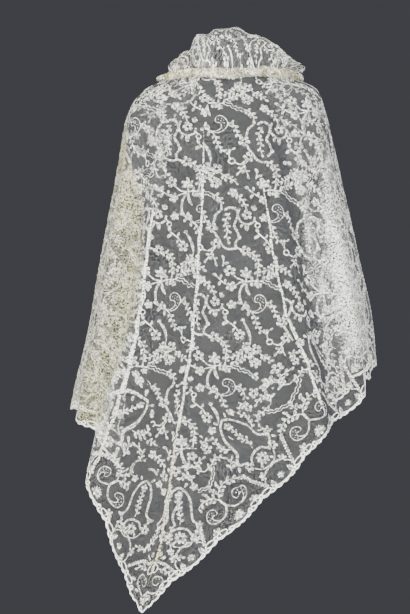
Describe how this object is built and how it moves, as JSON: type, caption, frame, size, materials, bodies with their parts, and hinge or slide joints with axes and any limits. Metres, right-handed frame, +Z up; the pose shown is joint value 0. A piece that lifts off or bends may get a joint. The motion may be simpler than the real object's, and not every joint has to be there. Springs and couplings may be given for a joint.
{
  "type": "lace shawl",
  "caption": "Triangular net-lace shawl worn over the shoulders and open in front, with a turned-over rolled neck edge and a scalloped hem rising from a low back point.",
  "frame": {"origin": "the nape, at the centre back of the neck line, where the cloth rests on the wearer", "axes": "+Z up, -Y out of the back of the shawl, +X to the right seen from behind"},
  "size_m": [0.6991, 0.6238, 1.3092],
  "materials": {
    "ivory_net_lace": "matt",
    "cream_net_lace": "matt",
    "edging_lace": "matt"
  },
  "bodies": {
    "root": {"shawl_back": "ivory_net_lace", "shawl_left_arm": "cream_net_lace", "shawl_left_front": "ivory_net_lace", "shawl_right_arm": "ivory_net_lace", "shawl_right_front": "ivory_net_lace", "collar_turnover": "ivory_net_lace", "neck_roll": "cream_net_lace", "edging_left": "edging_lace", "edging_right": "edging_lace"}
  },
  "joints": []
}
